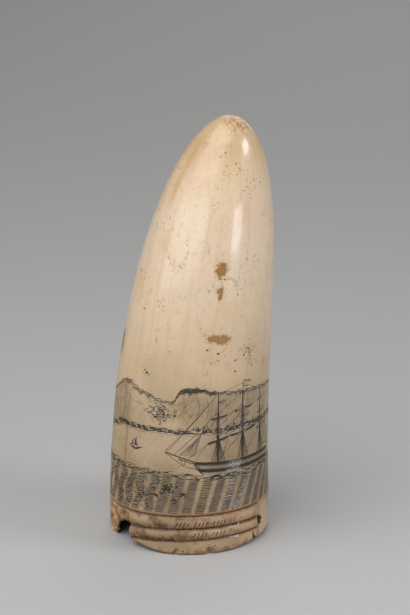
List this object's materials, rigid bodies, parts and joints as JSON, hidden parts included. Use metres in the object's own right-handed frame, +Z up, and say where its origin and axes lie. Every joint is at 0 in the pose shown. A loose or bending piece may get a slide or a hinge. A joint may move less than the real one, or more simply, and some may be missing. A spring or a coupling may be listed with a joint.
{
  "type": "scrimshaw whale tooth",
  "caption": "Hollow sperm whale tooth standing on its sawn root, with carved rolls at the foot and an engraved sea scene.",
  "frame": {"origin": "on the ground under the middle of the tooth's box", "axes": "+Z up to the tip, -Y out of the engraved front, +X the side the tip leans to"},
  "size_m": [0.061, 0.0562, 0.16],
  "materials": {
    "ivory": "polished aged tooth ivory, yellowed and stained, dull where it is broken",
    "ink": "dull lampblack rubbed into the engraved lines"
  },
  "bodies": {
    "root": {"whale_tooth": "ivory"}
  },
  "joints": []
}
